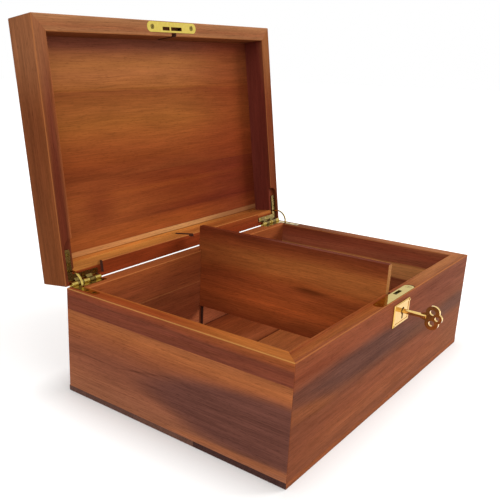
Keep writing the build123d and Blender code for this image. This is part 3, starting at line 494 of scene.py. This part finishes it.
def metal(name, code, tarnish, bright, dull, scuff_mm=2.5):
    """A metal whose colour and roughness run from code and bright to tarnish and dull in its scuffs."""
    material, tree, shader = new_material(name)
    place = add_node(tree, "ShaderNodeTexCoord").outputs["Object"]
    scuffs = add_node(tree, "ShaderNodeTexNoise", {
        "Vector": place, "Scale": 1 / (scuff_mm * MM), "Detail": 4, "Roughness": 0.6}).outputs["Fac"]
    worn = add_node(tree, "ShaderNodeMapRange", {
        "Value": scuffs, "From Min": SCUFF_NOISE[0], "From Max": SCUFF_NOISE[1]}).outputs[0]
    colour = add_node(tree, "ShaderNodeMix", {0: worn, 6: linear(code), 7: linear(tarnish)},
                      data_type="RGBA").outputs[2]
    rough = add_node(tree, "ShaderNodeMapRange", {
        "Value": worn, "To Min": bright, "To Max": dull}).outputs[0]
    relief = add_node(tree, "ShaderNodeBump", {
        "Height": scuffs, "Strength": SCUFF_RELIEF, "Distance": SCUFF_DEPTH}).outputs[0]
    for socket, value in {"Base Color": colour, "Roughness": rough, "Normal": relief}.items():
        tree.links.new(value, shader.inputs[socket])
    shader.inputs["Metallic"].default_value = 1
    return material


print("scuffs are cut", round(SCUFF_DEPTH / MM, 2), "mm deep")

# %% [markdown]
# Each fitting now gets its metal. The differences are small, but side by side they tell the eye which pieces
# were stamped and which were cast and gilded; the dimmer copies on the hinges and the escutcheon are painted
# shade and reflection.

# %% Brass, gilt and lock steel
FITTINGS = [
    # Buffed sheet brass: the yellowest and cleanest of all, it mirrors the white room.
    (metal("polished_brass", "#e0c963", "#d4b955", 0.05, 0.12), ["strike_plate"]),
    # Brass a little greyer than the strike, with a softer shine.
    (metal("greyer_face_brass", "#cbb04d", "#bea143", 0.06, 0.14), ["lock_faceplate", "lock_screws"]),
    # Gilt on cast zinc: paler and warmer than brass, bright on the key's round bow.
    (metal("gilt_zinc", "#f0cd82", "#e3bb6c", 0.05, 0.12), ["key"]),
    # The same gilt on a flat plate, painted deeper to stand in for the darker reflection it shows.
    (metal("gilt_zinc_painted_deeper", "#e0b666", "#d0a352", 0.05, 0.12), ["escutcheon", "escutcheon_pins"]),
    # Stamped brass painted a little dimmer than the strike, for the dark wood it mirrors: uneven, so that
    # its highlights break up.
    (metal("painted_dim_hinge_brass", "#cdb35c", "#a98f48", 0.08, 0.2),
     ["left_hinge_base_leaf", "left_hinge_pin", "left_stay_arm",
      "right_hinge_base_leaf", "right_hinge_pin", "right_stay_arm"]),
    # Hinge brass in the lid's pockets, painted dark and dull: painted shade and painted reflection of the
    # wood.
    (metal("painted_shade_lid_leaf_brass", "#8f7840", "#5f4d2a", 0.2, 0.35, scuff_mm=2.0),
     ["left_hinge_lid_leaf", "right_hinge_lid_leaf"]),
    # Dark screws: small dull heads that stand out from the leaves and the strike.
    (metal("dark_dull_screw_brass", "#9c8840", "#6e5c2c", 0.15, 0.3, scuff_mm=1.5),
     ["base_hinge_screws", "lid_hinge_screws", "strike_screws"]),
    # Plain rolled steel: grey and dull, seen only through the lock's slots.
    (metal("lock_steel", "#6f6b64", "#524e48", 0.3, 0.45, scuff_mm=3.0),
     ["lock_case", "lock_cover", "lock_posts", "lock_cam", "lock_hook"]),
]
for finish, names in FITTINGS:
    for name in names:
        dress(name, finish)
    print(finish.name, "on", names)

# %% [markdown]
# The box stands on a wide white table that fades into a white room. The table is a real surface, so it
# catches the soft shadow round the foot of the box, and to the camera and in reflections it glows a little,
# so that it reads as white without more light falling on the wood. The glow is least close to the box, so
# that a painted shadow darkens the table round its foot on top of the real one, and the table measures how
# far each point lies from the foot of the box.

# %% The table
TABLE_REACH = 6.0
TABLE_DROP = 0.0004
SHADOW_REACH, SHADOW_GLOW = 0.035, (0.14, 0.47)
FAR_REACH, FAR_GLOW = (0.05, 0.8), 0.2


def seen_by_viewer(tree):
    """A socket that is 1 for what the camera, a polished surface or glass sees, and 0 for light alone."""
    path = add_node(tree, "ShaderNodeLightPath")
    seen = path.outputs["Is Camera Ray"]
    for way in ("Is Glossy Ray", "Is Transmission Ray"):
        seen = add_node(tree, "ShaderNodeMath", {0: seen, 1: path.outputs[way]},
                        operation="MAXIMUM").outputs[0]
    return seen


bpy.ops.mesh.primitive_plane_add(size=2 * TABLE_REACH, location=(0, 0, -TABLE_DROP))
floor = bpy.context.object
floor.name = "white_table"
bpy.ops.object.transform_apply(location=True)
paper, tree, shader = new_material("white_paper")
place = add_node(tree, "ShaderNodeTexCoord").outputs["Object"]
folded = add_node(tree, "ShaderNodeVectorMath", {0: place}, operation="ABSOLUTE").outputs[0]
beyond = add_node(tree, "ShaderNodeVectorMath", {0: folded, 1: (HALF_LENGTH * MM, HALF_DEPTH * MM, 0)},
                  operation="SUBTRACT").outputs[0]
outside = add_node(tree, "ShaderNodeVectorMath", {0: beyond, 1: (0, 0, 0)}, operation="MAXIMUM").outputs[0]
away = add_node(tree, "ShaderNodeVectorMath", {0: outside}, operation="LENGTH").outputs["Value"]
# Less glow near the box: a painted shadow round its foot.
near = add_node(tree, "ShaderNodeMapRange", {
    "Value": away, "From Max": SHADOW_REACH, "To Min": SHADOW_GLOW[0], "To Max": SHADOW_GLOW[1]}).outputs[0]
far = add_node(tree, "ShaderNodeMapRange", {
    "Value": away, "From Min": FAR_REACH[0], "From Max": FAR_REACH[1], "To Max": FAR_GLOW}).outputs[0]
whitening = add_node(tree, "ShaderNodeMath", {0: near, 1: far}, operation="ADD").outputs[0]
glow = add_node(tree, "ShaderNodeMath", {0: seen_by_viewer(tree), 1: whitening},
                operation="MULTIPLY").outputs[0]
tree.links.new(glow, shader.inputs["Emission Strength"])
shader.inputs["Emission Color"].default_value = (1, 1, 1, 1)
shader.inputs["Base Color"].default_value = linear("#edecea")
shader.inputs["Roughness"].default_value = 0.9
shader.inputs["Specular IOR Level"].default_value = 0.1
floor.data.materials.append(paper)
print("table reaches", TABLE_REACH, "m each way, and its shadow", SHADOW_REACH, "m from the box")

# %% [markdown]
# The room behind the table is pure white to the camera and in the brass, but it lights the wood with about
# half of that, as white walls some way off do.

# %% The white room
AMBIENT = 0.55
room = bpy.data.worlds.new("white_room")
bpy.context.scene.world = room
room.use_nodes = True
tree = room.node_tree
strength = add_node(tree, "ShaderNodeMapRange", {
    "Value": seen_by_viewer(tree), "To Min": AMBIENT, "To Max": 1}).outputs[0]
tree.links.new(strength, tree.nodes["Background"].inputs["Strength"])
tree.nodes["Background"].inputs["Color"].default_value = (1, 1, 1, 1)
print("room light", AMBIENT)

# %% [markdown]
# Three soft boxes light the table, as for a catalogue picture: a broad one high on the right, which lays the
# shadow of the box to the left and leaves the inside of the lid's right rail dark, a weaker one that opens
# the left side, and a small one overhead for the rims and the floor of the box.

# %% The studio lamps
def soft_box(name, place, target, width, power):
    """A square area lamp at place that faces target, in metres and watts."""
    lamp = bpy.data.lights.new(name, "AREA")
    lamp.size = width
    lamp.energy = power
    holder = bpy.data.objects.new(name, lamp)
    holder.matrix_world = Matrix.LocRotScale(
        Vector(place), (Vector(target) - Vector(place)).to_track_quat("-Z", "Y"), None)
    holder.visible_glossy = False
    bpy.context.scene.collection.objects.link(holder)
    return lamp.energy


print("lamps in watts:",
      soft_box("main_soft_box", place=(1.6, -1.1, 1.0), target=(0, 0, 0.15), width=0.9, power=26),
      soft_box("left_soft_box", place=(-1.6, -0.7, 0.9), target=(0, 0, 0.1), width=1.0, power=9),
      soft_box("top_soft_box", place=(-0.3, -0.5, 1.6), target=(0, 0, 0.1), width=0.8, power=4.5))

# %% [markdown]
# Last, the view transform is set to Standard, so that a colour shows as it was written.

# %% Set the view transform
bpy.context.scene.view_settings.view_transform = "Standard"
